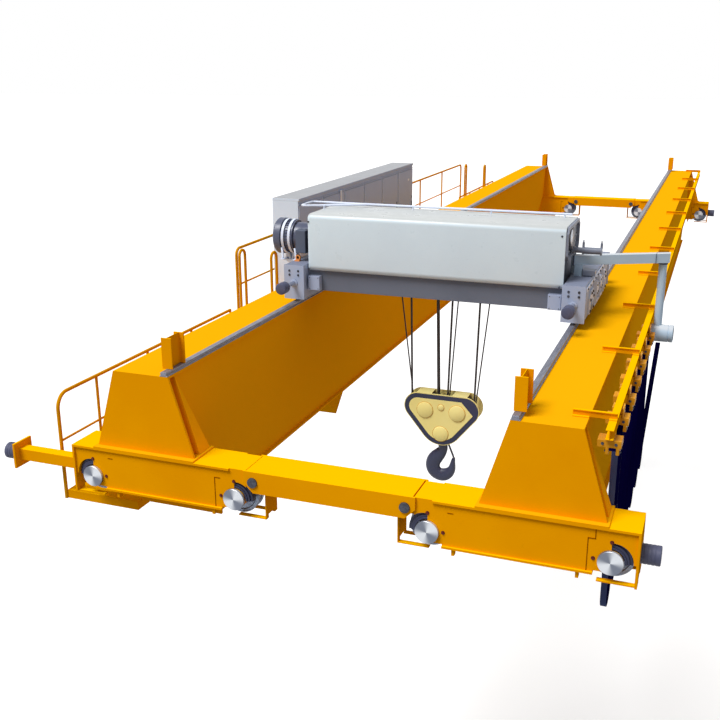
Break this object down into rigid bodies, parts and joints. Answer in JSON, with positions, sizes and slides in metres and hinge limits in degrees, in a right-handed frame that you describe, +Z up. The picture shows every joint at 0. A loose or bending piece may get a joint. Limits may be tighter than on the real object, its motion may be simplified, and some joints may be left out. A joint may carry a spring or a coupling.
{
  "type": "double girder overhead crane",
  "caption": "Double girder overhead travelling crane with a rope hoist trolley, side walkway, control cabinets, cable festoon, end carriages on flanged wheels and a swivelling hook.",
  "frame": {"origin": "middle of the span, level with the top of the runway rails", "axes": "+X along the runway, +Y along the span towards the far runway rail, +Z up"},
  "size_m": [6.15, 18.91, 3.253],
  "materials": {
    "crane_paint": "semi-gloss yellow enamel",
    "rail_steel": "rolled, top worn bright",
    "dark_steel": "satin dark grey",
    "rubber": "matt",
    "wheel_steel": "turned",
    "cabinet_grey": "satin light grey",
    "clamp_bronze": "zinc and orange enamel",
    "cable_sheath": "matt navy sheath",
    "hoist_grey": "satin grey enamel",
    "motor_alloy": "painted grey",
    "rope_wire": "greased wire",
    "block_paint": "semi-gloss cream yellow with a dark border",
    "hook_steel": "satin, dark"
  },
  "bodies": {
    "bridge": {"girder_left": "crane_paint", "girder_right": "crane_paint", "trolley_rails": "rail_steel", "end_stops": "crane_paint", "carriages_near": "crane_paint", "carriages_far": "crane_paint", "link_beams": "crane_paint", "link_pins": "dark_steel", "wheel_guards": "crane_paint", "buffer_arms": "crane_paint", "bridge_buffers": "rubber", "walkway_floor": "crane_paint", "walkway_brackets": "crane_paint", "walkway_handrail": "crane_paint", "platforms": "crane_paint", "platform_beams": "crane_paint", "platform_handrails": "crane_paint", "ladders": "crane_paint", "control_cabinets": "cabinet_grey", "festoon_track": "crane_paint", "festoon_brackets": "crane_paint", "festoon_end_clamp": "clamp_bronze", "festoon_cables": "cable_sheath"},
    "wheel_near_1_body": {"wheel_near_1": "wheel_steel"},
    "wheel_near_2_body": {"wheel_near_2": "wheel_steel"},
    "wheel_near_3_body": {"wheel_near_3": "wheel_steel"},
    "wheel_near_4_body": {"wheel_near_4": "wheel_steel"},
    "wheel_far_1_body": {"wheel_far_1": "wheel_steel"},
    "wheel_far_2_body": {"wheel_far_2": "wheel_steel"},
    "wheel_far_3_body": {"wheel_far_3": "wheel_steel"},
    "wheel_far_4_body": {"wheel_far_4": "wheel_steel"},
    "trolley": {"trolley_carriages": "hoist_grey", "cross_beams": "dark_steel", "trolley_buffers": "rubber", "drum_brackets": "dark_steel", "rope_drum": "dark_steel", "gear_unit": "dark_steel", "limit_switch": "hoist_grey", "hoist_motor": "motor_alloy", "motor_straps": "hoist_grey", "junction_boxes": "cabinet_grey", "hoist_cover": "hoist_grey", "tow_arm": "hoist_grey", "tow_clamp": "clamp_bronze", "hoist_ropes": "rope_wire"},
    "trolley_wheel_1_body": {"trolley_wheel_1": "wheel_steel"},
    "trolley_wheel_2_body": {"trolley_wheel_2": "wheel_steel"},
    "trolley_wheel_3_body": {"trolley_wheel_3": "wheel_steel"},
    "trolley_wheel_4_body": {"trolley_wheel_4": "wheel_steel"},
    "hook_block": {"block_plates": "block_paint", "block_sheaves": "hook_steel"},
    "hook_body": {"hook": "hook_steel", "hook_latch": "hook_steel"},
    "cable_carrier_1_body": {"cable_carrier_1": "clamp_bronze"},
    "cable_carrier_2_body": {"cable_carrier_2": "clamp_bronze"},
    "cable_carrier_3_body": {"cable_carrier_3": "clamp_bronze"},
    "cable_carrier_4_body": {"cable_carrier_4": "clamp_bronze"},
    "cable_carrier_5_body": {"cable_carrier_5": "clamp_bronze"},
    "cable_carrier_6_body": {"cable_carrier_6": "clamp_bronze"}
  },
  "joints": [
    {"name": "wheel_near_1_spin", "type": "hinge", "parent": "bridge", "child": "wheel_near_1_body", "pos_m": [-2.34, -9.25, 0.165], "axis": [0, 1, 0], "continuous": true},
    {"name": "wheel_near_2_spin", "type": "hinge", "parent": "bridge", "child": "wheel_near_2_body", "pos_m": [-0.88, -9.25, 0.165], "axis": [0, 1, 0], "continuous": true},
    {"name": "wheel_near_3_spin", "type": "hinge", "parent": "bridge", "child": "wheel_near_3_body", "pos_m": [0.88, -9.25, 0.165], "axis": [0, 1, 0], "continuous": true},
    {"name": "wheel_near_4_spin", "type": "hinge", "parent": "bridge", "child": "wheel_near_4_body", "pos_m": [2.34, -9.25, 0.165], "axis": [0, 1, 0], "continuous": true},
    {"name": "wheel_far_1_spin", "type": "hinge", "parent": "bridge", "child": "wheel_far_1_body", "pos_m": [-2.34, 9.25, 0.165], "axis": [0, 1, 0], "continuous": true},
    {"name": "wheel_far_2_spin", "type": "hinge", "parent": "bridge", "child": "wheel_far_2_body", "pos_m": [-0.88, 9.25, 0.165], "axis": [0, 1, 0], "continuous": true},
    {"name": "wheel_far_3_spin", "type": "hinge", "parent": "bridge", "child": "wheel_far_3_body", "pos_m": [0.88, 9.25, 0.165], "axis": [0, 1, 0], "continuous": true},
    {"name": "wheel_far_4_spin", "type": "hinge", "parent": "bridge", "child": "wheel_far_4_body", "pos_m": [2.34, 9.25, 0.165], "axis": [0, 1, 0], "continuous": true},
    {"name": "trolley_travel", "type": "slide", "parent": "bridge", "child": "trolley", "axis": [0, 1, 0], "range_m": [-2.07, 13.31], "deforming": ["festoon_cables"]},
    {"name": "trolley_wheel_1_spin", "type": "hinge", "parent": "trolley", "child": "trolley_wheel_1_body", "pos_m": [-1.55, -6.135, 1.365], "axis": [1, 0, 0], "continuous": true},
    {"name": "trolley_wheel_2_spin", "type": "hinge", "parent": "trolley", "child": "trolley_wheel_2_body", "pos_m": [1.55, -6.135, 1.365], "axis": [1, 0, 0], "continuous": true},
    {"name": "trolley_wheel_3_spin", "type": "hinge", "parent": "trolley", "child": "trolley_wheel_3_body", "pos_m": [-1.55, -5.105, 1.365], "axis": [1, 0, 0], "continuous": true},
    {"name": "trolley_wheel_4_spin", "type": "hinge", "parent": "trolley", "child": "trolley_wheel_4_body", "pos_m": [1.55, -5.105, 1.365], "axis": [1, 0, 0], "continuous": true},
    {"name": "hoist_lift", "type": "slide", "parent": "trolley", "child": "hook_block", "axis": [0, 0, 1], "range_m": [-6, 0.85], "deforming": ["hoist_ropes"]},
    {"name": "hook_swivel", "type": "hinge", "parent": "hook_block", "child": "hook_body", "pos_m": [0.02, -5.89, -0.445], "axis": [0, 0, 1], "continuous": true},
    {"name": "cable_carrier_1_run", "type": "slide", "parent": "bridge", "child": "cable_carrier_1_body", "axis": [0, 1, 0], "range_m": [-0.2967, 1.9024]},
    {"name": "cable_carrier_2_run", "type": "slide", "parent": "bridge", "child": "cable_carrier_2_body", "axis": [0, 1, 0], "range_m": [-0.5924, 3.8039]},
    {"name": "cable_carrier_3_run", "type": "slide", "parent": "bridge", "child": "cable_carrier_3_body", "axis": [0, 1, 0], "range_m": [-0.8881, 5.7053]},
    {"name": "cable_carrier_4_run", "type": "slide", "parent": "bridge", "child": "cable_carrier_4_body", "axis": [0, 1, 0], "range_m": [-1.1839, 7.6067]},
    {"name": "cable_carrier_5_run", "type": "slide", "parent": "bridge", "child": "cable_carrier_5_body", "axis": [0, 1, 0], "range_m": [-1.4796, 9.5081]},
    {"name": "cable_carrier_6_run", "type": "slide", "parent": "bridge", "child": "cable_carrier_6_body", "axis": [0, 1, 0], "range_m": [-1.7753, 11.4096]}
  ],
  "couplings": [
    {"joint": "cable_carrier_1_run", "follows": "trolley_travel", "ratio": 0.14286},
    {"joint": "cable_carrier_2_run", "follows": "trolley_travel", "ratio": 0.28571},
    {"joint": "cable_carrier_3_run", "follows": "trolley_travel", "ratio": 0.42857},
    {"joint": "cable_carrier_4_run", "follows": "trolley_travel", "ratio": 0.57143},
    {"joint": "cable_carrier_5_run", "follows": "trolley_travel", "ratio": 0.71429},
    {"joint": "cable_carrier_6_run", "follows": "trolley_travel", "ratio": 0.85714}
  ]
}
